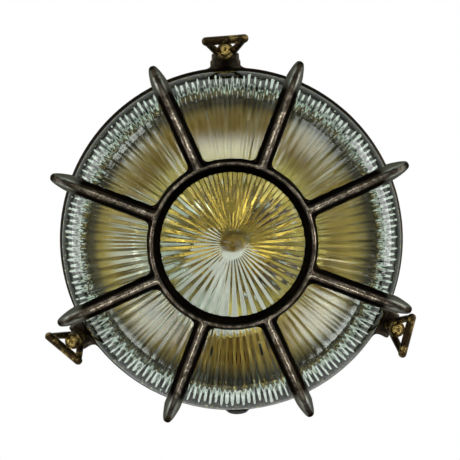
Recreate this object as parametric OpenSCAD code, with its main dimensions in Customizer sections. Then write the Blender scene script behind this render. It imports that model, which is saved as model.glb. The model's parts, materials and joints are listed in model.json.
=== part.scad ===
// Round cast bulkhead light: a wall body, a prismatic glass under an eight-armed guard,
// three swing bolts with loop nuts, a lampholder and a cable gland.
// The shapes are drawn face up, with Z out of the wall, and turned to stand on the wall at the end.

/* [Rim and wall body] */
// Radius of the rim, shared by the body flange and the guard ring
rim_r = 134; // [126:1:146]
// Depth from the wall to the front of the body flange
body_depth = 54; // [46:1:70]
// Thickness of the cast walls
wall_t = 5; // [4:0.5:7]
// Thickness of the body flange
flange_t = 9; // [7:0.5:12]
// Width by which the flange stands out of the bowl's side
flange_w = 14; // [12:0.5:16]
// Radius of the flat back where it turns into the rounded edge
back_r = 82; // [76:1:90]
// Radius of the rounded edge round the back
back_round = 14; // [10:1:18]

/* [Wall screws] */
// Number of holes for wall screws
wall_hole_count = 4; // [3:1:4]
// Radius of the circle of wall holes
wall_hole_pitch_r = 66; // [62:1:72]
// Radius of a wall hole
wall_hole_r = 3.3; // [2.5:0.1:4]
// Radius of the boss round a wall hole
wall_boss_r = 8; // [6:0.5:10]
// Height of the bosses on the floor of the bowl
boss_h = 4; // [3:0.5:6]

/* [Glass] */
// Distance from the rim's edge in to the glass skirt
glass_inset = 8.7; // [7.5:0.1:12]
// Thickness of the glass between its prisms
glass_t = 10; // [6:0.5:12]
// Height of the glass from the foot of its flange to its crown
glass_h = 66; // [58:1:76]
// Radius of the rounded shoulder
shoulder_r = 30; // [24:1:36]
// Slope of the front where it meets the shoulder, in degrees
front_slope = 10; // [6:1:14]
// Width of the clamped flange outside the skirt
glass_flange_w = 3.5; // [2.5:0.5:6]
// Thickness of the clamped flange
glass_flange_t = 7; // [5:0.5:9]
// Number of prisms round the shoulder, an even number
prism_count = 90; // [60:2:96]
// Slope of the prisms' flanks, in degrees
prism_angle = 22; // [10:1:28]
// Radius of the moulded button at the crown
button_r = 9; // [7:0.5:13]
// Height of the moulded button
button_h = 4.5; // [2:0.5:6]

/* [Gaskets] */
// Thickness of the gasket between body and glass
body_gasket_t = 3; // [2:0.5:5]
// Thickness of the gasket between glass and guard
guard_gasket_t = 2; // [1:0.5:4]
// Radial width of the gasket between body and glass
body_gasket_w = 8; // [6:0.5:9]

/* [Guard] */
// Number of arms
arm_count = 8; // [4:4:8]
// Width of an arm at its base
arm_base_w = 12; // [9:0.5:14]
// Width of the rounded nose of an arm
arm_nose_w = 3; // [2:0.5:5]
// Depth of an arm from nose to base
arm_depth = 13; // [10:0.5:15]
// Slope of the arms towards the wall, in degrees
arm_slope = 5.3; // [2:0.1:7]
// Radius of the elbow along its nose
elbow_r = 20.5; // [18:0.5:24]
// Radius of the centre ring along its nose
ring_r = 53.2; // [46:0.2:60]
// Width of the centre ring at its base
ring_base_w = 10; // [8:0.5:12]
// Width of the rounded nose of the centre ring
ring_nose_w = 3; // [2:0.5:4]
// Height of the ring's nose above the crown of the glass
ring_rise = 14; // [12:0.5:18]
// Clearance between the arms and the glass
glass_gap = 1.2; // [0.8:0.1:2]
// Thickness of the guard ring over the glass flange
guard_ring_t = 4; // [3:0.5:6]
// Radius of the rounded front edge of the guard ring
guard_ring_round = 3; // [1:0.5:4]
// Radius of the fillets where the arms leave the ring
arm_fillet_r = 6; // [3:0.5:9]

/* [Lugs and swing bolts] */
// Distance from the rim's edge out to the axis of a swing bolt
bolt_offset = 9.5; // [9:0.5:16]
// Width of a lug and of its ears
lug_w = 21.4; // [20:0.2:26]
// Thickness of a guard lug
lug_t = 10; // [7:0.5:12]
// Radius of the fillets where a lug leaves the rim
lug_fillet_r = 6; // [3:0.5:8]
// Length of a lug past the bolt's axis
lug_past_axis = 1.8; // [1:0.1:2.4]
// Radius of a swing bolt's shank
bolt_r = 4; // [3:0.25:5]
// Clearance of the shank in its slot
slot_gap = 0.5; // [0.4:0.1:1]
// Distance of the pivot pins from the wall
pivot_z = 40; // [36:1:46]
// Radius of a swing bolt's eye
eye_r = 8; // [6:0.5:8.5]
// Thickness of a swing bolt's eye
eye_t = 8.8; // [7:0.2:10]
// Clearance between the eye and each ear
eye_gap = 0.4; // [0.3:0.1:0.8]
// Radius of a pivot pin
pin_r = 3; // [2:0.25:4]
// Length by which the bolt stands out of its nut
bolt_proud = 1.6; // [0.5:0.1:4]

/* [Loop nuts] */
// Radius of a nut's hub
hub_r = 7; // [6:0.25:8]
// Height of a nut's hub
hub_h = 11; // [8:0.5:14]
// Overall length of a nut's bar
bar_l = 33.2; // [28:0.2:36]
// Radius of a nut's bar
bar_r = 2.9; // [2:0.1:3.5]
// Height of the bar's axis above the foot of the hub
bar_h = 33.5; // [30:0.5:40]
// Radius of a loop's arms at the hub
loop_foot_r = 2.8; // [2:0.1:3.5]
// Radius of a loop's arms at the bar
loop_top_r = 2.3; // [1.5:0.1:3]
// Turn of the top, left and right nut from square to the rim, in degrees
nut_turns = [2.6, 17.3, 14.1];

/* [Cable gland] */
// Distance of the gland's axis from the wall
gland_z = 26; // [22:1:30]
// Radius of the cast gland boss
gland_boss_r = 15; // [13:0.5:17]
// Distance by which the face of the gland boss stands past the rim
gland_reach = 0; // [-6:1:6]
// Depth of the seal chamber in the boss
gland_chamber = 16; // [14:1:20]
// Radius of the seal chamber
gland_chamber_r = 10.2; // [9:0.1:11]
// Radius of the hole for the cable
cable_r = 6.5; // [5:0.1:7]
// Length of the rubber seal
seal_l = 6; // [4:0.5:8]
// Thickness of the gland washer
gland_washer_t = 1.5; // [1:0.1:2.5]
// Radius of the gland nut's head
gland_head_r = 13; // [11:0.5:15]
// Length of the gland nut's head
gland_head_l = 15; // [12:0.5:18]

/* [Lampholder] */
// Sideways place of the lampholder's axis
holder_x = -9; // [-12:1:-6]
// Distance of the lampholder's axis from the wall
holder_z = 44; // [42:1:50]
// Place of the lampholder's foot below the light's axis
holder_foot_y = -73; // [-75:1:-71]
// Length of the lampholder
holder_l = 66; // [58:1:70]
// Radius of the porcelain body
holder_r = 26; // [24.5:0.5:27]
// Radius of the porcelain skirt round the mouth
holder_mouth_r = 24; // [20:0.5:25.5]
// Radius of the socket inside the porcelain
socket_r = 15.5; // [15:0.1:16.5]
// Depth of the socket
socket_depth = 40; // [34:1:44]
// Thickness of the threaded shell
shell_t = 0.8; // [0.5:0.1:1.2]
// Length of the threaded shell
shell_l = 30; // [24:1:34]
// Thickness of the bracket
bracket_t = 2.5; // [2:0.1:4]
// Width of the bracket
bracket_w = 36; // [32:1:40]
// Length of the bracket's foot
bracket_foot_l = 28; // [24:1:32]

/* [Terminals and screws] */
// Sideways place of the terminal block
block_x = 58; // [54:1:62]
// Height of the terminal block's middle above the light's axis
block_y = -8; // [-12:1:-4]
// Width, height and depth of the terminal block
block_size = [20, 36, 15];
// Radius of the small screws
screw_r = 2; // [1.5:0.1:2.5]
// Radius of a screw head
screw_head_r = 3.8; // [3:0.1:4.2]
// Height of a screw head
screw_head_h = 2.6; // [2:0.1:3.5]
// Length of a screw below its head
screw_l = 8; // [7:0.5:9]
// Height of the earth screw above the light's axis
earth_y = 28; // [24:1:34]

/* [Hidden] */
$fn = 96;

// Small fits shared by many pieces
running_fit = 0.06;
screw_fit = 0.1;
seat_gap = 0.3;
cable_fit = 0.4;
rim_gap = 0.6;
rebate_gap = 0.7;
head_gap = 0.4;
cut = 1;

// Edges and small parts of the castings and turned pieces
edge_round = 2;
post_inset = 0.5;
hub_taper = 0.8;
pin_head_w = 1.8;
pin_head_h = 1.6;
bolt_chamfer = 0.6;
bolt_centre_r = 0.9;
bolt_centre_depth = 2;
screw_slot_w = 0.9;
screw_slot_depth = 0.9;
ear_rib_z = 20;
foot_boss_r = 7;

// Colours
bronze_dark = [0.22, 0.18, 0.14];
bronze = [0.55, 0.42, 0.24];
brass = [0.80, 0.64, 0.25];
rubber = [0.10, 0.10, 0.10];
glass_tint = [0.78, 0.88, 0.82, 0.45];
porcelain = [0.93, 0.92, 0.88];
phenolic = [0.20, 0.12, 0.08];
steel = [0.62, 0.62, 0.60];

// Lugs at the top, lower left and lower right
lug_angles = [90, 210, 330];

// Heights of the clamped stack, from the wall outwards
glass_foot_z = body_depth + body_gasket_t;
glass_flange_top_z = glass_foot_z + glass_flange_t;
guard_step_z = glass_flange_top_z + guard_gasket_t;
guard_front_z = guard_step_z + guard_ring_t;
guard_foot_z = body_depth + rim_gap;
crown_z = glass_foot_z + glass_h;

// Body profile: a cone from the rounded back edge to the flange
side_r = rim_r - flange_w;
flange_back_z = body_depth - flange_t;
back_c = [back_r, back_round];
side_top = [side_r, flange_back_z];
side_foot = tangent_point(back_c, back_round, side_top, -1);
side_dir = (side_top - side_foot) / norm(side_top - side_foot);
side_in = wall_t * [-side_dir.y, side_dir.x];
bowl_top = side_top + side_in + side_dir * (body_depth + cut - side_top.y - side_in.y) / side_dir.y;
bowl_r = bowl_top.x - cut * side_dir.x / side_dir.y;
floor_z = wall_t;
pad_z = floor_z + boss_h;

// Glass profile: a shallow parabola, a round shoulder and a straight skirt
glass_r = rim_r - glass_inset;
glass_flange_r = glass_r + glass_flange_w;
shoulder_c_r = glass_r - shoulder_r;
shoulder_start_r = shoulder_c_r + shoulder_r * sin(front_slope);
front_drop = tan(front_slope) * shoulder_start_r / 2;
shoulder_c_z = crown_z - front_drop - shoulder_r * cos(front_slope);
front_k = tan(front_slope) / (2 * shoulder_start_r);

// Guard: elbow centre from the slope of the arms
ring_nose_z = crown_z + ring_rise;
ring_base_z = ring_nose_z - arm_depth;
post_r = rim_r - post_inset;
elbow_c_r = post_r - elbow_r;
elbow_drop = (elbow_r + (elbow_c_r - ring_r) * sin(arm_slope)) / cos(arm_slope);
elbow_c_z = ring_nose_z - elbow_drop;
first_arm = 180 / arm_count;
rebate_r = glass_flange_r + rebate_gap;

// Lugs, bolts and nuts
bolt_circle_r = rim_r + bolt_offset;
seat_z = guard_front_z - guard_ring_round;
slot_w = 2 * (bolt_r + slot_gap);
eye_slot_w = eye_t + 2 * eye_gap;
eye_slot_r = bolt_circle_r - eye_r - 2 * eye_gap;
nut_foot_z = seat_z + seat_gap;
bolt_tip_z = nut_foot_z + hub_h + bolt_proud;
pin_head_r = pin_r + pin_head_w;

// Gland, from the chamber's floor outwards
gland_face_r = rim_r + gland_reach;
chamber_floor_r = gland_face_r - gland_chamber;
seal_end_r = chamber_floor_r + seal_l;
washer_end_r = seal_end_r + gland_washer_t;
gland_head_foot_r = gland_face_r + rim_gap;
gland_tip_r = gland_head_foot_r + gland_head_l;
gland_dome = 4;
gland_notch_r = 1.6;
gland_notch_foot = 3;

// Lampholder bracket and its screws
bracket_margin = 4;
holder_screw_x = 9;
foot_screw_x = 10;
upright_y = holder_foot_y - bracket_t;
upright_top_z = holder_z + holder_r - bracket_margin;
foot_screw_y = upright_y + bracket_foot_l / 2 + bracket_margin;
holder_edge = 1;
holder_taper = 4;
holder_waist = 33;
socket_floor = holder_l - socket_depth;
shell_lip = 4;

// Spring contact on the socket's floor
contact_w = 6;
contact_t = 0.7;
contact_foot_l = 12;
contact_rise = 7;
contact_tip_l = 5;

// Terminal block, its screws and the earth screw
block_pad = 1.5;
wire_hole_r = 2.2;
block_screw_y = block_size.y / 2 - screw_head_r - head_gap;
block_half_l = block_screw_y - screw_head_r - head_gap;
terminal_y = block_half_l - screw_head_r - head_gap / 2;
washer_t = 1;
washer_r = screw_head_r + 1.4;

// Point where a line from p touches the circle round c; side picks which of the two
function tangent_point(c, r, p, side) =
    let (d = p - c, turn = atan2(d.y, d.x) + side * acos(r / norm(d)))
    c + r * [cos(turn), sin(turn)];

// Height of the glass front at a radius, and its slope there
function front_z(r) = crown_z - front_k * r * r;
function front_angle(r) = atan(2 * front_k * r);

// Stands the face-up shape on the wall, with its front towards -Y and its top towards +Z
module on_wall() {
    rotate([90, 0, 0]) children();
}

// Turns a shape drawn along +X to a lug's place
module at_lug(k) {
    rotate([0, 0, lug_angles[k]]) children();
}

// Turns a shape drawn along +Z so that it points down the wall, along -Y
module pointing_down() {
    rotate([90, 0, 0]) children();
}

// Revolves a profile given by its radius and height
module turned() {
    rotate_extrude() children();
}

// Concave corner between a straight bar of half width w and a disc of radius r;
// root is the depth to which it reaches into the disc
module root_fillet(w, r, f, root) {
    c = [sqrt(pow(r + f, 2) - pow(w + f, 2)), w + f];
    touch = c * r / (r + f);
    difference() {
        polygon([[c.x, w - cut], [c.x, c.y], touch, [r - root, w - cut]]);
        translate(c) circle(r = f);
    }
}

module both_sides() {
    children();
    mirror([0, 1, 0]) children();
}

// Screw along +Z from its head's seat at the origin, with its head above
module screw(length) {
    difference() {
        union() {
            cylinder(r = screw_head_r, h = screw_head_h);
            translate([0, 0, -length]) cylinder(r = screw_r, h = length + cut / 2);
        }
        translate([0, 0, screw_head_h])
            cube([2 * screw_head_r + cut, screw_slot_w, 2 * screw_slot_depth], center = true);
    }
}

// Tapered round bar between two points in the YZ plane
module bar_between(p, q, r_p, r_q) {
    d = q - p;
    translate([0, p.x, p.y]) rotate([-atan2(d.x, d.y), 0, 0])
        cylinder(r1 = r_p, r2 = r_q, h = norm(d));
}

// Wall body

module body_outer() {
    flange_corner = [rim_r - edge_round, flange_back_z + edge_round];
    polygon([[0, 0], [back_r, 0], side_foot, side_top, [flange_corner.x, flange_back_z],
        [rim_r, flange_corner.y], [rim_r, body_depth], [0, body_depth]]);
    translate(back_c) circle(r = back_round);
    translate(flange_corner) circle(r = edge_round);
}

module bowl_inner() {
    polygon([[0, floor_z], [back_r, floor_z], side_foot + side_in, bowl_top, [0, bowl_top.y]]);
    intersection() {
        translate(back_c) circle(r = back_round - wall_t);
        square([rim_r, body_depth]);
    }
}

module ear_side() {
    pivot = [bolt_circle_r, pivot_z];
    flange_corner = [rim_r, body_depth];
    rib_foot = [side_foot.x + (ear_rib_z - side_foot.y) * side_dir.x / side_dir.y - wall_t / 2, ear_rib_z];
    polygon([[bowl_r - cut, body_depth], flange_corner,
        tangent_point(pivot, eye_r, flange_corner, -1),
        tangent_point(pivot, eye_r, rib_foot, 1), rib_foot]);
    translate(pivot) circle(r = eye_r);
}

module ears() {
    difference() {
        rotate([90, 0, 0]) linear_extrude(lug_w, center = true) ear_side();
        translate([eye_slot_r, -eye_slot_w / 2, -cut])
            cube([2 * eye_r + bolt_circle_r, eye_slot_w, body_depth + 2 * cut]);
        translate([bolt_circle_r, 0, pivot_z]) rotate([90, 0, 0])
            cylinder(r = pin_r + running_fit, h = lug_w + 2 * cut, center = true);
    }
}

module at_wall_holes() {
    for (k = [0 : wall_hole_count - 1])
        rotate([0, 0, 180 / wall_hole_count + k * 360 / wall_hole_count])
            translate([wall_hole_pitch_r, 0, 0]) children();
}

module floor_bosses() {
    at_wall_holes() translate([0, 0, floor_z - cut]) cylinder(r = wall_boss_r, h = boss_h + cut);
    for (side = [-1, 1])
        translate([holder_x + side * foot_screw_x, foot_screw_y, floor_z - cut])
            cylinder(r = foot_boss_r, h = boss_h + cut);
    translate([block_x, block_y, floor_z - cut]) linear_extrude(boss_h + cut)
        square([block_size.x + 2 * block_pad, block_size.y + 2 * block_pad], center = true);
    translate([block_x, earth_y, floor_z - cut]) cylinder(r = foot_boss_r, h = boss_h + cut);
}

module screw_hole() {
    translate([0, 0, -screw_l]) cylinder(r = screw_r + screw_fit, h = screw_l + cut);
}

module wall_body() {
    color(bronze_dark) on_wall() difference() {
        union() {
            difference() {
                union() {
                    turned() body_outer();
                    for (k = [0 : 2]) at_lug(k) ears();
                    translate([0, -back_r, gland_z]) pointing_down()
                        cylinder(r = gland_boss_r, h = gland_face_r - back_r);
                }
                turned() bowl_inner();
            }
            floor_bosses();
        }
        at_wall_holes() translate([0, 0, -cut]) cylinder(r = wall_hole_r, h = pad_z + 2 * cut);
        translate([0, -chamber_floor_r, gland_z]) pointing_down()
            cylinder(r = gland_chamber_r, h = gland_chamber + cut);
        translate([0, -back_r, gland_z]) pointing_down()
            cylinder(r = cable_r + cable_fit, h = gland_face_r - back_r);
        for (side = [-1, 1])
            translate([holder_x + side * foot_screw_x, foot_screw_y, pad_z + bracket_t]) screw_hole();
        for (side = [-1, 1])
            translate([block_x, block_y + side * block_screw_y, pad_z + block_pad]) screw_hole();
        translate([block_x, earth_y, pad_z + washer_t]) screw_hole();
    }
}

// Glass and gaskets

module body_gasket() {
    color(rubber) on_wall() translate([0, 0, body_depth]) linear_extrude(body_gasket_t) difference() {
        circle(r = glass_flange_r);
        circle(r = glass_flange_r - body_gasket_w);
    }
}

module guard_gasket() {
    color(rubber) on_wall() translate([0, 0, glass_flange_top_z])
        linear_extrude(guard_gasket_t) difference() {
            circle(r = glass_flange_r);
            circle(r = glass_r + glass_gap);
        }
}

// Profile of the glass: each entry is radius, height, the angle of its normal and a prism weight.
// Weight 1 has a prism at every step, weight 2 has one prism for every two of those.
// The prisms run out on the shoulder, so the skirt is smooth.
shoulder_steps = 4;
prism_end_angle = 80;
prism_blend = 2;
button_edge = 2;
outside_radii = [button_r, 2 * button_r, ring_r, (ring_r + shoulder_start_r) / 2];
fine_radii = [(ring_r + shoulder_start_r) / 2, ring_r];
coarse_radii = [ring_r - prism_blend, 2 * button_r, button_r + prism_blend];

function shoulder_point(r, a) = [shoulder_c_r + r * sin(a), shoulder_c_z + r * cos(a)];
function shoulder_angle(i) = front_slope + (90 - front_slope) * i / shoulder_steps;

glass_outside = concat(
    [for (r = outside_radii) [r, front_z(r), 0, 0]],
    [for (i = [0 : shoulder_steps])
        let (p = shoulder_point(shoulder_r, shoulder_angle(i))) [p.x, p.y, 0, 0]],
    [[glass_r, glass_flange_top_z, 0, 0], [glass_flange_r, glass_flange_top_z, 0, 0],
        [glass_flange_r, glass_foot_z, 0, 0], [glass_r - glass_t, glass_foot_z, 0, 0]]);

glass_inside = concat(
    [for (i = [shoulder_steps : -1 : 0])
        let (a = shoulder_angle(i), p = shoulder_point(shoulder_r - glass_t, a))
        [p.x, p.y, a, a < prism_end_angle ? 1 : 0]],
    [for (r = fine_radii) [r, front_z(r) - glass_t, front_angle(r), 1]],
    [for (r = coarse_radii) [r, front_z(r) - glass_t, front_angle(r), 2]],
    [[button_r, front_z(button_r) - glass_t, 0, 0],
        [button_r - button_edge, crown_z - glass_t - button_h + button_edge / 2, 0, 0]]);

glass_profile = concat(glass_outside, glass_inside);
glass_steps = 2 * prism_count;

// Height of a prism at a radius and at a step round the glass; its flanks slope alike everywhere
function prism_at(r, i, weight) =
    let (step_h = tan(prism_angle) * PI * r / prism_count)
    weight == 0 ? 0 : weight == 1 ? step_h * (i % 2) : step_h * (2 - abs((i % 4) - 2));

function glass_point(row, i) =
    let (h = prism_at(row[0], i, row[3]), r = row[0] - h * sin(row[2]), turn = 360 * i / glass_steps)
    [r * cos(turn), r * sin(turn), row[1] - h * cos(row[2])];

module prismatic_glass() {
    rows = len(glass_profile);
    n = glass_steps;
    first_pole = rows * n;
    points = concat(
        [for (row = glass_profile, i = [0 : n - 1]) glass_point(row, i)],
        [[0, 0, crown_z], [0, 0, crown_z - glass_t - button_h]]);
    walls = [for (j = [0 : rows - 2], i = [0 : n - 1], half = [0, 1])
        let (a = j * n + i, b = j * n + (i + 1) % n)
        half == 0 ? [a, b, b + n] : [a, b + n, a + n]];
    crown = [for (i = [0 : n - 1]) [first_pole, (i + 1) % n, i]];
    button = [for (i = [0 : n - 1])
        [first_pole + 1, (rows - 1) * n + i, (rows - 1) * n + (i + 1) % n]];
    color(glass_tint) on_wall() polyhedron(points, concat(walls, crown, button));
}

// Guard

// Section of a bar with a round nose at the origin and its depth along +X
module nosed_section(depth, nose_w, base_w) {
    nose = nose_w / 2;
    polygon([[nose, -nose], [nose, nose], [depth, base_w / 2], [depth, -base_w / 2]]);
    translate([nose, 0]) circle(r = nose);
}

// Radius of the space that the glass and its clearance take, at a height on its skirt or shoulder
function glass_room_r(z) =
    let (room = shoulder_r + glass_gap)
    z < shoulder_c_z ? glass_r + glass_gap
        : shoulder_c_r + sqrt(max(0, room * room - pow(z - shoulder_c_z, 2)));

// Stations along an arm's nose: radius, height, the angle of the outward normal and the depth there
elbow_steps = 8;
post_steps = 5;
post_foot_z = guard_front_z - guard_ring_t / 2;
post_clearance = 0.2;
arm_stations = concat(
    [[ring_r, ring_nose_z, 90 - arm_slope, arm_depth]],
    [for (i = [0 : elbow_steps])
        let (a = (90 - arm_slope) * (1 - i / elbow_steps))
        [elbow_c_r + elbow_r * cos(a), elbow_c_z + elbow_r * sin(a), a, arm_depth]],
    [for (i = [1 : post_steps])
        let (z = elbow_c_z + (post_foot_z - elbow_c_z) * i / post_steps)
        [post_r, z, 0, min(arm_depth, post_r - glass_room_r(z) - post_clearance)]]);

// Section of an arm: distance in from the nose and half width, with a narrow nose and bulging flanks
arm_bulge = 0.55;
flank_shares = [0.06, 0.3, 0.65, 1];
function arm_half_w(d) = arm_nose_w / 2 + (arm_base_w - arm_nose_w) / 2 * pow(d / arm_depth, arm_bulge);
function arm_section(depth) = concat(
    [[0, -arm_nose_w / 4], [0, arm_nose_w / 4]],
    [for (s = flank_shares) [s * depth, arm_half_w(s * depth)]],
    [for (k = [len(flank_shares) - 1 : -1 : 0])
        let (s = flank_shares[k]) [s * depth, -arm_half_w(s * depth)]]);

function arm_point(station, p) =
    [station[0] - p[0] * cos(station[2]), p[1], station[1] - p[0] * sin(station[2])];

module arm() {
    sides = len(arm_section(arm_depth));
    last = len(arm_stations) - 1;
    points = [for (s = arm_stations, p = arm_section(s[3])) arm_point(s, p)];
    skin = [for (j = [0 : last - 1], k = [0 : sides - 1], half = [0, 1])
        let (a = j * sides + k, b = j * sides + (k + 1) % sides)
        half == 0 ? [a, b, b + sides] : [a, b + sides, a + sides]];
    ends = [[for (k = [sides - 1 : -1 : 0]) k], [for (k = [0 : sides - 1]) last * sides + k]];
    polyhedron(points, concat(skin, ends));
}

module guard_ring() {
    corner = [rim_r - guard_ring_round, guard_front_z - guard_ring_round];
    mouth_r = glass_r + glass_gap;
    polygon([[rebate_r, guard_foot_z], [rim_r, guard_foot_z], [rim_r, corner.y], [corner.x, guard_front_z],
        [mouth_r, guard_front_z], [mouth_r, guard_step_z], [rebate_r, guard_step_z]]);
    translate(corner) intersection() {
        circle(r = guard_ring_round);
        square(guard_ring_round + cut);
    }
}

module centre_ring() {
    translate([ring_r, ring_nose_z]) rotate(-90) nosed_section(arm_depth, ring_nose_w, ring_base_w);
}

module lug_outline() {
    root = (rim_r - rebate_r) / 2;
    difference() {
        union() {
            translate([rim_r - root, -lug_w / 2])
                square([bolt_circle_r + lug_past_axis - rim_r + root, lug_w]);
            both_sides() root_fillet(lug_w / 2, rim_r, lug_fillet_r, root);
        }
        translate([bolt_circle_r, 0]) circle(r = slot_w / 2);
        translate([bolt_circle_r, -slot_w / 2]) square([slot_w, slot_w]);
    }
}

module guard() {
    fillet_root = 1;
    arm_angles = [for (k = [0 : arm_count - 1]) first_arm + k * 360 / arm_count];
    color(bronze_dark) on_wall() union() {
        for (a = arm_angles) rotate([0, 0, a]) arm();
        turned() guard_ring();
        turned() centre_ring();
        for (a = arm_angles) rotate([0, 0, a]) translate([0, 0, ring_base_z])
            linear_extrude(arm_depth / 3) both_sides()
                root_fillet(arm_base_w / 2 - fillet_root, ring_r + ring_base_w / 2 - fillet_root,
                    arm_fillet_r, ring_base_w / 3);
        for (k = [0 : 2]) at_lug(k) translate([0, 0, seat_z - lug_t]) linear_extrude(lug_t) lug_outline();
    }
}

// Swing bolts, pins and loop nuts

module pivot_pin(k) {
    color(bronze) on_wall() at_lug(k) translate([bolt_circle_r, 0, pivot_z]) rotate([90, 0, 0]) {
        cylinder(r = pin_r, h = lug_w + 2 * running_fit, center = true);
        for (side = [0, 1]) mirror([0, 0, side])
            translate([0, 0, lug_w / 2 + running_fit])
                cylinder(r1 = pin_head_r, r2 = pin_r, h = pin_head_h);
    }
}

module swing_bolt(k) {
    shank = bolt_tip_z - pivot_z;
    color(brass) on_wall() at_lug(k) translate([bolt_circle_r, 0, pivot_z]) difference() {
        union() {
            rotate([90, 0, 0]) cylinder(r = eye_r, h = eye_t, center = true);
            cylinder(r = bolt_r, h = shank - bolt_chamfer);
            translate([0, 0, shank - bolt_chamfer])
                cylinder(r1 = bolt_r, r2 = bolt_r - bolt_chamfer, h = bolt_chamfer);
        }
        rotate([90, 0, 0]) cylinder(r = pin_r + running_fit, h = eye_t + 2 * cut, center = true);
        translate([0, 0, shank - bolt_centre_depth])
            cylinder(r = bolt_centre_r, h = bolt_centre_depth + cut);
    }
}

module loop_nut(k) {
    bar_end = bar_l / 2 - bar_r;
    foot_y = hub_r - loop_foot_r / 2;
    color(bronze) on_wall() at_lug(k) translate([bolt_circle_r, 0, nut_foot_z]) rotate([0, 0, nut_turns[k]])
        difference() {
            union() {
                cylinder(r1 = hub_r, r2 = hub_r - hub_taper, h = hub_h);
                for (side = [-1, 1]) {
                    bar_between([side * foot_y, hub_h / 2], [side * bar_end, bar_h],
                        loop_foot_r, loop_top_r);
                    translate([0, side * bar_end, bar_h]) sphere(r = bar_r);
                }
                translate([0, 0, bar_h]) rotate([90, 0, 0])
                    cylinder(r = bar_r, h = 2 * bar_end, center = true);
            }
            translate([0, 0, -cut]) cylinder(r = bolt_r + running_fit, h = hub_h + bolt_proud + 2 * cut);
            translate([0, 0, -2 * cut]) cylinder(r = hub_r + loop_foot_r, h = 2 * cut);
        }
}

module pivot_pin_top() { pivot_pin(0); }
module pivot_pin_left() { pivot_pin(1); }
module pivot_pin_right() { pivot_pin(2); }
module swing_bolt_top() { swing_bolt(0); }
module swing_bolt_left() { swing_bolt(1); }
module swing_bolt_right() { swing_bolt(2); }
module loop_nut_top() { loop_nut(0); }
module loop_nut_left() { loop_nut(1); }
module loop_nut_right() { loop_nut(2); }

// Cable gland

// Ring round the gland's axis between two distances from the light's axis
module gland_sleeve(from_r, to_r, outer, inner) {
    translate([0, -from_r, gland_z]) pointing_down() difference() {
        cylinder(r = outer, h = to_r - from_r);
        translate([0, 0, -cut]) cylinder(r = inner, h = to_r - from_r + 2 * cut);
    }
}

module gland_seal() {
    color(rubber) on_wall()
        gland_sleeve(chamber_floor_r, seal_end_r, gland_chamber_r - screw_fit, cable_r + cable_fit / 2);
}

module gland_washer() {
    color(brass) on_wall()
        gland_sleeve(seal_end_r, washer_end_r, gland_chamber_r - screw_fit, cable_r + cable_fit / 2);
}

module gland_nut() {
    color(bronze) on_wall() translate([0, -washer_end_r, gland_z]) pointing_down() difference() {
        union() {
            cylinder(r = gland_chamber_r - screw_fit, h = gland_head_foot_r - washer_end_r + cut);
            translate([0, 0, gland_head_foot_r - washer_end_r]) {
                cylinder(r = gland_head_r, h = gland_head_l - gland_dome);
                translate([0, 0, gland_head_l - gland_dome])
                    cylinder(r1 = gland_head_r, r2 = gland_head_r - gland_dome, h = gland_dome);
            }
        }
        translate([0, 0, -cut]) cylinder(r = cable_r, h = gland_tip_r - washer_end_r + 2 * cut);
        for (a = [0 : 60 : 300]) rotate([0, 0, a])
            translate([gland_head_r, 0, gland_head_foot_r - washer_end_r + gland_notch_foot])
                cylinder(r = gland_notch_r, h = gland_head_l);
    }
}

// Lampholder and terminals

module lampholder_bracket() {
    hole = screw_r + screw_fit;
    color(brass) on_wall() difference() {
        union() {
            translate([holder_x - bracket_w / 2, upright_y, pad_z])
                cube([bracket_w, bracket_foot_l, bracket_t]);
            translate([holder_x - bracket_w / 2, upright_y, pad_z])
                cube([bracket_w, bracket_t, upright_top_z - pad_z]);
        }
        for (side = [-1, 1]) {
            translate([holder_x + side * foot_screw_x, foot_screw_y, pad_z - cut])
                cylinder(r = hole, h = bracket_t + 2 * cut);
            translate([holder_x + side * holder_screw_x, upright_y - cut, holder_z])
                rotate([-90, 0, 0]) cylinder(r = hole, h = bracket_t + 2 * cut);
        }
    }
}

// Places a shape drawn along +Z on the lampholder's axis, from its foot upwards
module on_holder() {
    translate([holder_x, holder_foot_y, holder_z]) rotate([-90, 0, 0]) children();
}

module lampholder_body() {
    taper_top = holder_waist + holder_taper;
    color(porcelain) on_wall() on_holder() difference() {
        turned() polygon([[0, 0], [holder_r - holder_edge, 0], [holder_r, holder_edge],
            [holder_r, holder_waist], [holder_mouth_r, taper_top],
            [holder_mouth_r, holder_l - holder_edge], [holder_mouth_r - holder_edge, holder_l],
            [socket_r, holder_l], [socket_r, socket_floor], [0, socket_floor]]);
        for (side = [-1, 1]) translate([side * holder_screw_x, 0, -cut])
            cylinder(r = screw_r + screw_fit, h = screw_l + cut);
    }
}

module lampholder_shell() {
    outer = socket_r - screw_fit;
    color(brass) on_wall() on_holder() translate([0, 0, socket_floor]) difference() {
        cylinder(r = outer, h = shell_l);
        translate([0, 0, shell_t]) cylinder(r = outer - shell_t, h = shell_l);
        translate([0, 0, -cut]) cylinder(r = outer - shell_lip, h = shell_l);
    }
}

module centre_contact() {
    heel = -contact_foot_l * 3 / 4;
    toe = heel + contact_foot_l;
    bend = heel + 2 * contact_t;
    color(brass) on_wall() on_holder() translate([0, 0, socket_floor]) rotate([90, 0, 0])
        linear_extrude(contact_w, center = true)
            polygon([[heel, 0], [toe, 0], [toe, contact_t], [bend, contact_t],
                [contact_t, contact_rise - contact_t], [contact_tip_l, contact_rise - contact_t],
                [contact_tip_l, contact_rise], [0, contact_rise], [heel, contact_t]]);
}

module lampholder_screws() {
    color(steel) on_wall() for (side = [-1, 1])
        translate([holder_x + side * holder_screw_x, upright_y, holder_z])
            rotate([90, 0, 0]) screw(screw_l);
}

module bracket_screws() {
    color(steel) on_wall() for (side = [-1, 1])
        translate([holder_x + side * foot_screw_x, foot_screw_y, pad_z + bracket_t]) screw(screw_l - cut);
}

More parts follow.
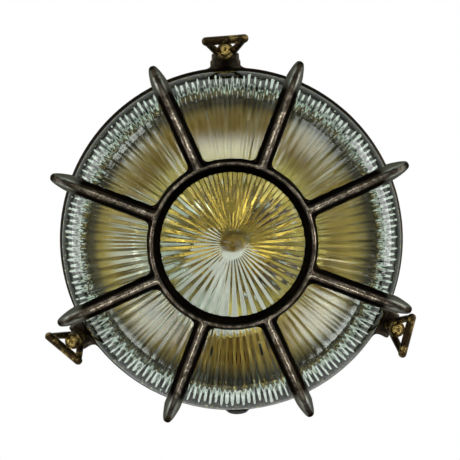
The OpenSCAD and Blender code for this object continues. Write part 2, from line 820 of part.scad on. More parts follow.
module terminal_block() {
    color(phenolic) on_wall() translate([block_x, block_y, pad_z]) difference() {
        union() {
            translate([-block_size.x / 2, -block_size.y / 2, 0])
                cube([block_size.x, block_size.y, block_pad]);
            translate([-block_size.x / 2, -block_half_l, 0])
                cube([block_size.x, 2 * block_half_l, block_size.z]);
        }
        for (side = [-1, 1]) {
            translate([0, side * block_screw_y, -cut])
                cylinder(r = screw_r + screw_fit, h = block_pad + 2 * cut);
            translate([0, side * terminal_y, block_size.z / 2]) rotate([0, 90, 0])
                cylinder(r = wire_hole_r, h = block_size.x + 2 * cut, center = true);
            translate([0, side * terminal_y, block_size.z / 2])
                cylinder(r = screw_r + screw_fit, h = block_size.z);
        }
    }
}

module terminal_screws() {
    color(brass) on_wall() for (side = [-1, 1])
        translate([block_x, block_y + side * terminal_y, pad_z + block_size.z])
            screw(block_size.z / 2 - cut);
}

module block_screws() {
    color(steel) on_wall() for (side = [-1, 1])
        translate([block_x, block_y + side * block_screw_y, pad_z + block_pad]) screw(screw_l - cut);
}

module earth_washer() {
    color(brass) on_wall() translate([block_x, earth_y, pad_z]) linear_extrude(washer_t) difference() {
        circle(r = washer_r);
        circle(r = screw_r + screw_fit);
    }
}

module earth_screw() {
    color(brass) on_wall() translate([block_x, earth_y, pad_z + washer_t]) screw(screw_l - cut);
}

wall_body();
body_gasket();
prismatic_glass();
guard_gasket();
guard();
pivot_pin_top();
pivot_pin_left();
pivot_pin_right();
swing_bolt_top();
swing_bolt_left();
swing_bolt_right();
loop_nut_top();
loop_nut_left();
loop_nut_right();
gland_seal();
gland_washer();
gland_nut();
lampholder_bracket();
lampholder_body();
lampholder_shell();
centre_contact();
lampholder_screws();
bracket_screws();
terminal_block();
terminal_screws();
block_screws();
earth_screw();
earth_washer();
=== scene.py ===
"""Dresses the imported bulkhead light: cast bronze, pressed glass, porcelain, brass and rubber."""
import json
import math
import random

import bmesh
import bpy
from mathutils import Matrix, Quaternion, Vector


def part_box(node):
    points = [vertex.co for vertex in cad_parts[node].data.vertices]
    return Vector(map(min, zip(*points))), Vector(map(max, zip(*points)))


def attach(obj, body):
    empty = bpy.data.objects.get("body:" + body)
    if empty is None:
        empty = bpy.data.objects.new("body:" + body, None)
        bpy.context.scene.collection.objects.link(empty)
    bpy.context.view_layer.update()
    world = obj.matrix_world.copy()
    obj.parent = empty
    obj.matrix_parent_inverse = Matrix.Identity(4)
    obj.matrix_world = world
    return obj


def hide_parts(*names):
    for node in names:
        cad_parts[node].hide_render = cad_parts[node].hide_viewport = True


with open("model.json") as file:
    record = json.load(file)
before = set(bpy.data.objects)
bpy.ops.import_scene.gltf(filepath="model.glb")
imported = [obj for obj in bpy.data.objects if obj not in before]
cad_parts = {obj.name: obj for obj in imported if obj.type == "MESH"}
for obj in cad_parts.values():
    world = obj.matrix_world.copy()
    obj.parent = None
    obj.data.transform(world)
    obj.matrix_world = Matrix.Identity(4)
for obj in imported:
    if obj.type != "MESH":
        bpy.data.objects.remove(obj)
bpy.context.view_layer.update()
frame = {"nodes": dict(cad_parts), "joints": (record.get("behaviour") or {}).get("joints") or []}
nodes = frame["nodes"]
LUGS = ("top", "left", "right")
MM = 0.001

# Sizes of the light in metres: r is the distance from the axis, z the one from the wall.
# The glass's wall, prism slope and button differ from the solid's and are set for the look of the photo.
RING_R, RING_NOSE_Z = 53.2 * MM, 137 * MM
ARM_SLOPE = math.radians(5.3)
ELBOW_R, ELBOW_C_R = 20.5 * MM, 113 * MM
GLASS_R, GLASS_T = 125.3 * MM, 8.5 * MM
SHOULDER_R, FRONT_SLOPE = 30 * MM, math.radians(10)
PRISM_FADE = (math.radians(75), math.radians(100))
GLASS_FLANGE_T = 7 * MM
PRISM_COUNT, PRISM_SLOPE = 90, math.tan(math.radians(26))
BUTTON_R, BUTTON_H = 9 * MM, 0.5 * MM
MOULD_LINE_R, MOULD_LINE_W, MOULD_LINE_H = 97.8 * MM, 0.8 * MM, 0.08 * MM
RIPPLE_H, STREAK_H = 0.05 * MM, 0.03 * MM
SHARP_FRONT, SHARP_SHOULDER = 0.99, 0.30
PRISM_HEIGHTS, PRISM_END_SPREAD, PRISM_COLUMNS = (0.72, 1.10), 12, 8
GLASS_LIP, PRISM_BLEND = 1.0 * MM, 2 * MM
BOLT_R, BOLT_CHAMFER, BOLT_CENTRE_R, BOLT_CENTRE_DEPTH = 4 * MM, 0.6 * MM, 0.9 * MM, 2 * MM
THREAD_PITCH, THREAD_DEPTH, THREAD_START = 1.25 * MM, 0.6 * MM, 11 * MM
EYE_R, EYE_T, EYE_EDGE, PIN_HOLE_R = 8 * MM, 8.8 * MM, 0.7 * MM, 3.06 * MM
BOWL_FOOT_R, BOWL_FLARE, BOWL_SKIN = 83.4 * MM, 0.679, 2.5 * MM
BOWL_FLOOR_Z, BOWL_RIM_Z = 2 * MM, 53.2 * MM

# Width of the broken edges of the CAD pieces
EDGE_WIDTHS = {
    "wall_body": 0.8 * MM, "gland_nut": 0.4 * MM,
    "lampholder_body": 0.6 * MM, "lampholder_bracket": 0.3 * MM,
    "terminal_block": 0.5 * MM, "block_screws": 0.2 * MM, "bracket_screws": 0.2 * MM,
    "lampholder_screws": 0.2 * MM, "terminal_screws": 0.2 * MM,
    "earth_screw": 0.2 * MM, "earth_washer": 0.15 * MM,
    "body_gasket": 0.5 * MM, "guard_gasket": 0.4 * MM,
}

# Camera, fitted to the photograph's 460 x 460 frame
FRAME_PX = 460
FOCAL_PX = 529.1
CENTRE_PX = (231.9, 241.0)
CAMERA_TARGET = Vector((0, -0.067, 0))
CAMERA_DISTANCE = 0.4133
CAMERA_AZIMUTH, CAMERA_ELEVATION, CAMERA_ROLL = map(math.radians, (-0.46, 2.51, -2.04))


# Node helpers

class Tree:
    """A node tree with short calls: every call adds one node and returns its output socket."""

    def __init__(self, tree):
        self.tree = tree
        tree.nodes.clear()

    def node(self, kind, **settings):
        made = self.tree.nodes.new("ShaderNode" + kind)
        for name, value in settings.items():
            setattr(made, name, value)
        return made

    def feed(self, socket, value):
        if isinstance(value, bpy.types.NodeSocket):
            self.tree.links.new(value, socket)
        elif value is not None:
            if isinstance(value, tuple) and len(value) == 3 and socket.type == "RGBA":
                value = value + (1,)
            socket.default_value = value

    def math(self, operation, a, b=None, c=None):
        made = self.node("Math", operation=operation)
        for socket, v in zip(made.inputs, (a, b, c)):
            self.feed(socket, v)
        return made.outputs[0]

    def span(self, value, low, high, to_low=0.0, to_high=1.0):
        """Maps value from low..high to to_low..to_high with a soft start and end, held at the ends."""
        made = self.node("MapRange", interpolation_type="SMOOTHSTEP")
        for socket, v in zip(made.inputs, (value, low, high, to_low, to_high)):
            self.feed(socket, v)
        return made.outputs[0]

    def colour(self, factor, a, b):
        made = self.node("Mix", data_type="RGBA")
        self.feed(made.inputs[0], factor)
        self.feed(made.inputs[6], a)
        self.feed(made.inputs[7], b)
        return made.outputs[2]

    def value(self, factor, a, b):
        made = self.node("Mix", data_type="FLOAT")
        self.feed(made.inputs[0], factor)
        self.feed(made.inputs[2], a)
        self.feed(made.inputs[3], b)
        return made.outputs[0]

    def place(self):
        return self.node("TexCoord").outputs["Object"]

    def stretched(self, vector, scale):
        made = self.node("Mapping")
        self.feed(made.inputs["Vector"], vector)
        made.inputs["Scale"].default_value = scale
        return made.outputs[0]

    def noise(self, vector, scale, detail=4.0, rough=0.55):
        made = self.node("TexNoise")
        for name, v in (("Vector", vector), ("Scale", scale), ("Detail", detail), ("Roughness", rough)):
            self.feed(made.inputs[name], v)
        return made.outputs[0]

    def bump(self, height, strength, distance, normal=None):
        made = self.node("Bump")
        made.inputs["Strength"].default_value = strength
        made.inputs["Distance"].default_value = distance
        self.feed(made.inputs["Height"], height)
        self.feed(made.inputs["Normal"], normal)
        return made.outputs[0]


def new_material(name):
    material = bpy.data.materials.new(name)
    material.use_nodes = True
    return material, Tree(material.node_tree)


def principled(t, **inputs):
    """Adds a Principled shader with the given inputs, wires it to the output and returns it."""
    shader = t.node("BsdfPrincipled")
    for name, value in inputs.items():
        t.feed(shader.inputs[name.replace("_", " ")], value)
    out = t.node("OutputMaterial")
    t.feed(out.inputs["Surface"], shader.outputs[0])
    return shader


def distance_from_axis(t, place):
    """Sockets for the distance from the light's axis and for the distance from the wall."""
    split = t.node("SeparateXYZ")
    t.feed(split.inputs[0], place)
    x, y, z = split.outputs
    square = t.math("ADD", t.math("MULTIPLY", x, x), t.math("MULTIPLY", z, z))
    return t.math("SQRT", square), t.math("MULTIPLY", y, -1.0)


def bearing_from_left(t, place):
    """Socket for the bearing round the light's axis, in radians, from the left and rising downwards."""
    split = t.node("SeparateXYZ")
    t.feed(split.inputs[0], place)
    x, _, z = split.outputs
    return t.math("ARCTAN2", t.math("MULTIPLY", z, -1.0), t.math("MULTIPLY", x, -1.0))


# Materials

PATINA_BLACK = (0.012, 0.010, 0.009)
PATINA_BROWN = (0.023, 0.017, 0.011)
# Painted sheen: lighter grey metal on the elbows' flanks, standing in for their grazing reflection
PAINTED_SHEEN_GREY = (0.27, 0.27, 0.24)
BRONZE_WORN = (0.50, 0.41, 0.34)
BRONZE_GOLD = (0.22, 0.165, 0.115)
BRASS = (0.80, 0.58, 0.20)
# The bowl's inside: dark, light and stained tones of its floor and of its side, and the shade under its rim
FLOOR_TONES = ((0.46, 0.29, 0.06), (0.95, 0.64, 0.15), (0.38, 0.24, 0.05))
SIDE_TONES = ((0.66, 0.50, 0.14), (0.76, 0.58, 0.18), (0.50, 0.37, 0.10))
RIM_SHADE = (0.06, 0.048, 0.026)
# Painted reflections as pale streaks down the left of the bowl, with painted shade of darker brass beside them,
# which the prisms spread over the left windows
PAINTED_REFLECTION_PALE, BRASS_SHADED, REFLECTION_BEARINGS = (0.78, 0.79, 0.73), (0.20, 0.145, 0.04), (0, 38)


def edges(t):
    """Pointiness of the mesh: about 0.5 on flats, more on outer edges and less in hollows."""
    return t.node("NewGeometry").outputs["Pointiness"]


def guard_bronze():
    """Dark patina on cast bronze, rubbed bright along the noses of the arms and of the ring, with a painted
    sheen of lighter grey on the elbows' flanks.
    """
    material, t = new_material("guard_bronze")
    place = t.place()
    r, z = distance_from_axis(t, place)
    past = t.math("MAXIMUM", t.math("SUBTRACT", ELBOW_C_R, r), 0.0)
    level = t.math("SUBTRACT", z, t.math("MULTIPLY", past, math.tan(ARM_SLOPE)))
    nose_z = RING_NOSE_Z - (ELBOW_C_R - RING_R) * math.tan(ARM_SLOPE)
    elbow_c_z = nose_z - ELBOW_R
    out_r = t.math("MAXIMUM", t.math("SUBTRACT", r, ELBOW_C_R), 0.0)
    out_z = t.math("MAXIMUM", t.math("SUBTRACT", level, elbow_c_z), 0.0)
    reach = t.math("SQRT", t.math("ADD", t.math("MULTIPLY", out_r, out_r), t.math("MULTIPLY", out_z, out_z)))
    depth = t.math("SUBTRACT", ELBOW_R, reach)
    ragged = t.math("MULTIPLY_ADD", t.noise(place, 160, 6, 0.7), 2.2 * MM, -1.1 * MM)
    nose = t.span(t.math("ADD", depth, ragged), -0.2 * MM, 0.8 * MM, 1.0, 0.0)
    front = t.span(r, ELBOW_C_R - ELBOW_R, ELBOW_C_R + ELBOW_R * 0.3, 1.0, 0.10)
    nose = t.math("MULTIPLY", nose, front)
    edge = t.span(edges(t), 0.52, 0.60)
    blotch = t.span(t.noise(place, 45, 5, 0.6), 0.35, 0.65)
    wear = t.math("MAXIMUM", nose, t.math("MULTIPLY", t.math("MULTIPLY", edge, blotch), 0.20))
    patina = t.colour(blotch, PATINA_BLACK, PATINA_BROWN)
    # Painted sheen: the elbows' flanks turn lighter grey over the patina, in place of their grazing reflection
    elbow = t.span(r, ELBOW_C_R - 6 * MM, ELBOW_C_R + 2 * MM)
    elbow = t.math("MULTIPLY", elbow, t.span(level, elbow_c_z - 8 * MM, elbow_c_z))
    sheen_flank = t.span(t.math("ADD", depth, ragged), 0.2 * MM, 1.4 * MM)
    patina = t.colour(t.math("MULTIPLY", elbow, sheen_flank), patina, PAINTED_SHEEN_GREY)
    fine = t.noise(place, 900, 4, 0.6)
    metal = t.colour(t.span(t.noise(place, 300, 5, 0.7), 0.40, 0.60), BRONZE_GOLD, BRONZE_WORN)
    colour = t.colour(wear, patina, metal)
    rough = t.value(wear, t.span(fine, 0.3, 0.7, 0.30, 0.46), t.span(fine, 0.3, 0.7, 0.16, 0.28))
    grain = t.bump(t.noise(place, 1400, 3, 0.6), 0.25, 0.15 * MM)
    dents = t.bump(t.noise(place, 120, 3, 0.5), 0.35, 0.6 * MM, grain)
    shader = principled(t, Base_Color=colour, Metallic=1.0, Roughness=rough, Normal=dents)
    shader.inputs["Specular Tint"].default_value = (0.22, 0.20, 0.18, 1)
    return material


def body_bronze():
    """Dark patina outside; inside the bowl gold on the floor and olive up the side, with painted reflection
    streaks and painted shade at the left.
    """
    material, t = new_material("body_bronze")
    place = t.place()
    r, z = distance_from_axis(t, place)
    past_wall = t.math("SUBTRACT", r, t.math("MULTIPLY_ADD", z, BOWL_FLARE, BOWL_FOOT_R + BOWL_SKIN))
    inside = t.span(past_wall, -0.5 * MM, 0.5 * MM, 1.0, 0.0)
    inside = t.math("MULTIPLY", inside, t.span(z, BOWL_FLOOR_Z, BOWL_FLOOR_Z + 1 * MM))
    inside = t.math("MULTIPLY", inside, t.span(z, BOWL_RIM_Z, BOWL_RIM_Z + 0.4 * MM, 1.0, 0.0))
    blotch = t.span(t.noise(place, 40, 5, 0.6), 0.35, 0.65)
    patina = t.colour(blotch, PATINA_BLACK, PATINA_BROWN)
    cloud = t.span(t.noise(place, 28, 4, 0.6), 0.38, 0.60)
    stain = t.span(t.noise(place, 60, 5, 0.6), 0.42, 0.66)
    gold, olive = (t.colour(stain, t.colour(cloud, dark, light), stained)
                   for dark, light, stained in (FLOOR_TONES, SIDE_TONES))
    gold = t.colour(t.span(r, 56 * MM, 76 * MM), gold, olive)
    bearing = bearing_from_left(t, place)
    # Painted reflection and painted shade: pale streaks with darker brass around them, on the bowl's side at
    # the left
    painted_band = t.math("MULTIPLY", t.span(r, 52 * MM, 60 * MM), t.span(r, 98 * MM, 110 * MM, 1.0, 0.0))
    off = t.math("ABSOLUTE", t.math("SUBTRACT", bearing, math.radians(sum(REFLECTION_BEARINGS) / 2)))
    shade = t.math("MULTIPLY", t.span(off, math.radians(34), math.radians(48), 0.7, 0.0), painted_band)
    gold = t.colour(shade, gold, BRASS_SHADED)
    for middle in REFLECTION_BEARINGS:
        off = t.math("ABSOLUTE", t.math("SUBTRACT", bearing, math.radians(middle)))
        pale = t.span(off, math.radians(7), math.radians(11), 1.0, 0.0)
        gold = t.colour(t.math("MULTIPLY", pale, painted_band), gold, PAINTED_REFLECTION_PALE)
    gold = t.colour(t.span(z, 28 * MM, 50 * MM), gold, RIM_SHADE)
    fine = t.noise(place, 700, 4, 0.6)
    colour = t.colour(inside, patina, gold)
    floor_rough, side_rough = t.span(fine, 0.3, 0.7, 0.14, 0.22), t.span(fine, 0.3, 0.7, 0.34, 0.44)
    bright = t.value(t.span(r, 54 * MM, 72 * MM), floor_rough, side_rough)
    rough = t.value(inside, t.span(fine, 0.3, 0.7, 0.36, 0.52), bright)
    grain = t.bump(t.noise(place, 1200, 3, 0.6), 0.10, 0.10 * MM)
    wave = t.math("MULTIPLY", t.noise(place, 90, 3, 0.5), t.value(inside, 1.0, 0.15))
    dents = t.bump(wave, 0.35, 0.6 * MM, grain)
    principled(t, Base_Color=colour, Metallic=t.value(inside, 0.8, 1.0), Roughness=rough, Normal=dents)
    return material


def nut_bronze():
    """Bronze handled until its patina is thin, with bright edges."""
    material, t = new_material("nut_bronze")
    place = t.place()
    blotch = t.span(t.noise(place, 110, 6, 0.7), 0.46, 0.66)
    edge = t.span(edges(t), 0.51, 0.58)
    wear = t.math("MAXIMUM", t.math("MULTIPLY", edge, 0.45), t.math("MULTIPLY", blotch, 0.85))
    colour = t.colour(wear, (0.035, 0.021, 0.009), (0.50, 0.34, 0.12))
    fine = t.noise(place, 900, 4, 0.6)
    rough = t.value(wear, t.span(fine, 0.3, 0.7, 0.26, 0.40), t.span(fine, 0.3, 0.7, 0.18, 0.30))
    grain = t.bump(t.noise(place, 1300, 3, 0.6), 0.3, 0.12 * MM)
    dents = t.bump(t.noise(place, 260, 3, 0.5), 0.35, 0.35 * MM, grain)
    principled(t, Base_Color=colour, Metallic=0.95, Roughness=rough, Normal=dents)
    return material


def turned_brass(name, colour, tarnish, rough):
    """Turned or pressed brass with fine tool marks and some tarnish."""
    material, t = new_material(name)
    place = t.place()
    cloud = t.span(t.noise(place, 180, 5, 0.6), 0.35, 0.7)
    fine = t.noise(place, 1500, 4, 0.6)
    marks = t.noise(t.stretched(place, (300, 3000, 300)), 1.0, 3, 0.5)
    grain = t.bump(marks, 0.15, 0.06 * MM)
    principled(
        t, Base_Color=t.colour(cloud, colour, tarnish), Metallic=1.0,
        Roughness=t.span(fine, 0.3, 0.7, rough, rough + 0.14), Normal=grain,
    )
    return material


def clear_glass():
    """Clear pressed glass, faintly green in its depth, which lets lamp light through to the bowl."""
    material, t = new_material("clear_glass")
    place = t.place()
    ripple = t.bump(t.noise(place, 60, 2, 0.5), 0.08, 0.4 * MM)
    shader = t.node("BsdfPrincipled")
    settings = {
        "Base Color": (0.975, 1.0, 0.985), "Roughness": 0.015, "IOR": 1.5,
        "Transmission Weight": 1.0, "Normal": ripple,
    }
    for name, value in settings.items():
        t.feed(shader.inputs[name], value)
    clear = t.node("BsdfTransparent")
    clear.inputs[0].default_value = (0.93, 0.96, 0.94, 1)
    mix = t.node("MixShader")
    t.feed(mix.inputs[0], t.node("LightPath").outputs["Is Shadow Ray"])
    t.feed(mix.inputs[1], shader.outputs[0])
    t.feed(mix.inputs[2], clear.outputs[0])
    depth = t.node("VolumeAbsorption")
    depth.inputs["Color"].default_value = (0.70, 0.92, 0.72, 1)
    depth.inputs["Density"].default_value = 14.0
    out = t.node("OutputMaterial")
    t.feed(out.inputs["Surface"], mix.outputs[0])
    t.feed(out.inputs["Volume"], depth.outputs[0])
    return material


def white_porcelain():
    material, t = new_material("white_porcelain")
    place = t.place()
    cloud = t.span(t.noise(place, 90, 4), 0.3, 0.7)
    speck = t.span(t.noise(place, 900, 2, 0.4), 0.70, 0.78)
    glaze = t.colour(cloud, (0.52, 0.48, 0.45), (0.60, 0.56, 0.53))
    colour = t.colour(t.math("MULTIPLY", speck, 0.5), glaze, (0.45, 0.38, 0.30))
    wave = t.bump(t.noise(place, 150, 2), 0.15, 0.3 * MM)
    principled(t, Base_Color=colour, Roughness=t.span(cloud, 0, 1, 0.10, 0.18), Normal=wave)
    return material


def black_rubber():
    material, t = new_material("black_rubber")
    place = t.place()
    bloom = t.span(t.noise(place, 70, 5, 0.6), 0.4, 0.75)
    colour = t.colour(bloom, (0.016, 0.016, 0.016), (0.045, 0.044, 0.042))
    grain = t.bump(t.noise(place, 1500, 3), 0.3, 0.1 * MM)
    principled(t, Base_Color=colour, Roughness=t.span(bloom, 0, 1, 0.55, 0.75), Normal=grain)
    return material


def dark_phenolic():
    material, t = new_material("dark_phenolic")
    place = t.place()
    swirl = t.span(t.noise(place, 110, 6, 0.7), 0.35, 0.65)
    colour = t.colour(swirl, (0.045, 0.020, 0.012), (0.095, 0.045, 0.026))
    grain = t.bump(t.noise(place, 800, 3), 0.2, 0.08 * MM)
    principled(t, Base_Color=colour, Roughness=t.span(swirl, 0, 1, 0.22, 0.34), Normal=grain)
    return material


def plated_steel():
    material, t = new_material("plated_steel")
    place = t.place()
    dull = t.span(t.noise(place, 250, 5, 0.6), 0.4, 0.7)
    colour = t.colour(dull, (0.62, 0.61, 0.58), (0.42, 0.40, 0.36))
    grain = t.bump(t.noise(place, 1800, 3), 0.2, 0.05 * MM)
    principled(t, Base_Color=colour, Metallic=1.0, Roughness=t.span(dull, 0, 1, 0.24, 0.42), Normal=grain)
    return material


def pale_floor():
    material, t = new_material("pale_floor")
    soft = t.span(t.noise(t.place(), 3, 3), 0.3, 0.7)
    principled(t, Base_Color=t.colour(soft, (0.80, 0.80, 0.80), (0.84, 0.84, 0.84)), Roughness=0.7)
    return material


# Pieces

def dress(name, material):
    """Gives a CAD node its material."""
    slots = nodes[name].data.materials
    slots.clear()
    slots.append(material)


def mesh_object(name, vertices, faces, material, smooth=True):
    mesh = bpy.data.meshes.new(name)
    mesh.from_pydata(vertices, [], faces)
    mesh.validate()
    build = bmesh.new()
    build.from_mesh(mesh)
    bmesh.ops.recalc_face_normals(build, faces=build.faces)
    build.to_mesh(mesh)
    build.free()
    mesh.materials.append(material)
    mesh.shade_smooth() if smooth else mesh.shade_flat()
    made = bpy.data.objects.new(name, mesh)
    bpy.context.scene.collection.objects.link(made)
    return made


def cast(name, voxel, smoothing):
    """Rounds a CAD casting's edges and corners as a mould does, with modifiers on its own node."""
    piece = nodes[name]
    remesh = piece.modifiers.new("skin", "REMESH")
    remesh.mode = "VOXEL"
    remesh.voxel_size = voxel
    remesh.use_smooth_shade = True
    soften = piece.modifiers.new("soften", "SMOOTH")
    soften.factor = 0.5
    soften.iterations = smoothing


def break_edges(name, width):
    """Takes the sharpness off a CAD piece's edges, with modifiers on its own node."""
    piece = nodes[name]
    weld = piece.modifiers.new("weld", "WELD")
    weld.merge_threshold = 0.01 * MM
    bevel = piece.modifiers.new("edges", "BEVEL")
    bevel.limit_method = "ANGLE"
    bevel.angle_limit = math.radians(40)
    bevel.width = width
    bevel.segments = 2
    piece.modifiers.new("shading", "WEIGHTED_NORMAL").keep_sharp = True


def strip(rows, around, closed=False):
    """Faces between rows of points that each run once round; closed joins the last row to the first."""
    faces = []
    for j in range(rows if closed else rows - 1):
        for i in range(around):
            a, b = j * around, (j + 1) % rows * around
            k = (i + 1) % around
            faces.append((a + i, b + i, b + k, a + k))
    return faces


def threaded_bolt(lug, material):
    """A swing bolt: an eye with rounded edges and a threaded shank with a chamfered, centre-drilled tip."""
    name = "swing_bolt_" + lug
    joint = next(j for j in frame["joints"] if j["child"] == name)
    pivot, pin = Vector(joint["pos_m"]), Vector(joint["axis"])
    out = Vector((0, -1, 0))
    across = pin.cross(out)
    length = -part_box(name)[0].y + pivot.y
    around = 24

    def shank_r(w, turn):
        cycle = (w / THREAD_PITCH - turn) % 1
        groove = min(max(1.3 * abs(2 * cycle - 1) - 0.15, 0), 1)
        run_in = min(max((w - THREAD_START) / THREAD_PITCH, 0), 1)
        return min(BOLT_R - THREAD_DEPTH * groove * run_in, BOLT_R - BOLT_CHAMFER + length - w)

    root = math.sqrt(EYE_R ** 2 - BOLT_R ** 2) - 2 * EYE_EDGE
    steps = round(6 * (length - THREAD_START) / THREAD_PITCH)
    heights = [root] + [THREAD_START + (length - THREAD_START) * i / steps for i in range(steps + 1)]
    shank = [[(shank_r(w, i / around), w) for i in range(around)] for w in heights]
    hole_r, hole_depth = BOLT_CENTRE_R, BOLT_CENTRE_DEPTH
    for r, w in ((hole_r * 1.3, 0), (hole_r, 0.3 * hole_r), (hole_r, hole_depth), (0, hole_depth)):
        shank.append([(r, length - w)] * around)
    vertices, faces = [], strip(len(shank), around)
    for row in shank:
        for i, (r, w) in enumerate(row):
            turn = 2 * math.pi * i / around
            vertices.append(pivot + out * w + (across * math.cos(turn) + pin * math.sin(turn)) * r)
    half, e = EYE_T / 2, EYE_EDGE
    section = [(PIN_HOLE_R + e, half), (EYE_R - e, half)]
    section += [(EYE_R - 0.3 * e, half - 0.3 * e), (EYE_R, half - e)]
    section += [(r, -v) for r, v in reversed(section)]
    section += [(PIN_HOLE_R, e - half), (PIN_HOLE_R, half - e)]
    first, eye_around = len(vertices), 48
    for r, v in section:
        for i in range(eye_around):
            turn = 2 * math.pi * i / eye_around
            vertices.append(pivot + pin * v + (across * math.cos(turn) + out * math.sin(turn)) * r)
    faces += [tuple(first + k for k in face) for face in strip(len(section), eye_around, closed=True)]
    piece = mesh_object("threaded_bolt_" + lug, vertices, faces, material)
    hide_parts(name)
    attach(piece, name)


def glass_dome(material):
    """The pressed glass: a smooth outside, and prisms inside with slightly rounded crests."""
    low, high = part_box("prismatic_glass")
    crown_z, foot_z, flange_r = -low.y, -high.y, high.x
    flange_z = foot_z + GLASS_FLANGE_T
    shoulder_c_r = GLASS_R - SHOULDER_R
    shoulder_start = shoulder_c_r + SHOULDER_R * math.sin(FRONT_SLOPE)
    front_k = math.tan(FRONT_SLOPE) / (2 * shoulder_start)
    drop = math.tan(FRONT_SLOPE) * shoulder_start / 2
    shoulder_c_z = crown_z - drop - SHOULDER_R * math.cos(FRONT_SLOPE)
    around = PRISM_COUNT * PRISM_COLUMNS
    shoulder_rows = 20

    def front(r):
        return crown_z - front_k * r * r

    def outside(r):
        """Front with the thin mould line where the shoulder starts."""
        return front(r) + MOULD_LINE_H * max(0, 1 - abs(r - MOULD_LINE_R) / MOULD_LINE_W)

    def tilt(r):
        return math.atan(2 * front_k * r)

    def shoulder(radius, i):
        a = FRONT_SLOPE + (math.pi / 2 - FRONT_SLOPE) * i / shoulder_rows
        return shoulder_c_r + radius * math.sin(a), shoulder_c_z + radius * math.cos(a), a

    # Each row: radius, height, tilt of the normal, share of fine prisms, share of coarse prisms
    rows = []
    front_radii = [shoulder_start * i / 25 for i in range(1, 24)]
    front_radii += [MOULD_LINE_R + MOULD_LINE_W * k for k in (-1, 0, 1)]
    for r in front_radii:
        rows.append((r, outside(r), 0, 0, 0))
    for i in range(shoulder_rows + 1):
        rows.append(shoulder(SHOULDER_R, i)[:2] + (0, 0, 0))
    lip = GLASS_LIP
    for i in range(1, 5):
        rows.append((GLASS_R, shoulder_c_z + (flange_z + lip - shoulder_c_z) * i / 4, 0, 0, 0))
    rows += [(GLASS_R + 0.3 * lip, flange_z + 0.3 * lip, 0, 0, 0), (GLASS_R + lip, flange_z, 0, 0, 0)]
    for corner, sign in ((flange_z, -1), (foot_z, 1)):
        bend = ((1, 0), (0.3, 0.3), (0, 1))
        edge = [(flange_r - inward * lip, corner + sign * along * lip) for inward, along in bend]
        rows += [(r, z, 0, 0, 0) for r, z in (edge if sign < 0 else reversed(edge))]
    inner_r = GLASS_R - GLASS_T
    rows += [(inner_r + lip, foot_z, 0, 0, 0), (inner_r, foot_z + lip, 0, 0, 0)]
    rows += [(inner_r, flange_z - 2 * MM, math.pi / 2, 0, 0)]
    for i in range(7):
        z = flange_z + (shoulder_c_z - flange_z) * i / 7
        rows.append((inner_r, z, math.pi / 2, 0, 0))
    for i in range(shoulder_rows, -1, -1):
        r, z, a = shoulder(SHOULDER_R - GLASS_T, i)
        rows.append((r, z, a, 1, 0))
    steps = 14
    start = shoulder_c_r + (SHOULDER_R - GLASS_T) * math.sin(FRONT_SLOPE)
    for i in range(1, steps + 1):
        r = start + (RING_R - start) * i / steps
        rows.append((r, front(r) - GLASS_T, tilt(r), 1, 0))
    coarse_start, coarse_end = RING_R - PRISM_BLEND, BUTTON_R + PRISM_BLEND
    for i in range(steps + 1):
        r = coarse_start + (coarse_end - coarse_start) * i / steps
        rows.append((r, front(r) - GLASS_T, tilt(r), 0, 1))
    for i in range(9):
        swell = math.sin(math.pi / 2 * i / 9) ** 2
        rows.append((BUTTON_R * (1 - i / 9), front(BUTTON_R) - GLASS_T - BUTTON_H * swell, 0, 0, 0))

    ripple_z = shoulder_c_z + (SHOULDER_R - GLASS_T / 2)

    def crest(turn, sharp):
        """Rounded triangle wave from 0 to 1, one cycle a turn, with sharper crests the nearer sharp is to 1."""
        return 0.5 - math.asin(sharp * math.cos(2 * math.pi * turn)) / (2 * math.asin(sharp))

    chance = random.Random(5)
    heights = [chance.uniform(*PRISM_HEIGHTS) for _ in range(PRISM_COUNT)]
    ends = [math.radians(chance.uniform(-PRISM_END_SPREAD, PRISM_END_SPREAD)) for _ in range(PRISM_COUNT)]
    streaks = [chance.uniform(0, STREAK_H) for _ in range(around)]
    vertices = []
    for r, z, a, fine, coarse in rows:
        pitch_h = PRISM_SLOPE * math.pi * r / PRISM_COUNT
        sharp = SHARP_FRONT + (SHARP_SHOULDER - SHARP_FRONT) * min(a / PRISM_FADE[0], 1)
        for i in range(around):
            prism, cycle = i // PRISM_COLUMNS, i / PRISM_COLUMNS
            share = (PRISM_FADE[1] - a + ends[prism]) / (PRISM_FADE[1] - PRISM_FADE[0])
            fine_h = fine * heights[prism] * min(max(share, 0), 1) * crest(cycle, sharp)
            h = pitch_h * (fine_h + 2 * coarse * crest(cycle / 2, sharp)) + fine * streaks[i]
            if a == 0 and z > ripple_z:
                ripple = RIPPLE_H * heights[prism] ** 4 * math.cos(2 * math.pi * cycle)
                h = (ripple + 0.5 * streaks[i]) * min(1, r / RING_R)
            rr, zz = r - h * math.sin(a), z - h * math.cos(a)
            turn = 2 * math.pi * i / around
            vertices.append((rr * math.cos(turn), -zz, rr * math.sin(turn)))
    faces = strip(len(rows), around)
    top = len(vertices)
    vertices.append((0, -crown_z, 0))
    vertices.append((0, -(crown_z - GLASS_T - BUTTON_H), 0))
    last = (len(rows) - 1) * around
    for i in range(around):
        j = (i + 1) % around
        faces.append((top, i, j))
        faces.append((top + 1, last + j, last + i))
    piece = mesh_object("glass_dome", vertices, faces, material)
    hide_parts("prismatic_glass")
    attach(piece, "housing")


# Light, floor and camera

def softbox(name, place, size, watts, glossy=True):
    lamp = bpy.data.lights.new(name, "AREA")
    lamp.shape = "RECTANGLE"
    lamp.size, lamp.size_y = size
    lamp.energy = watts
    made = bpy.data.objects.new(name, lamp)
    made.location = place
    made.rotation_mode = "QUATERNION"
    made.rotation_quaternion = (CAMERA_TARGET - Vector(place)).to_track_quat("-Z", "Y")
    made.visible_camera = False
    made.visible_glossy = glossy
    bpy.context.scene.collection.objects.link(made)


ROOM_TINT = (0.93, 1.0, 0.92)
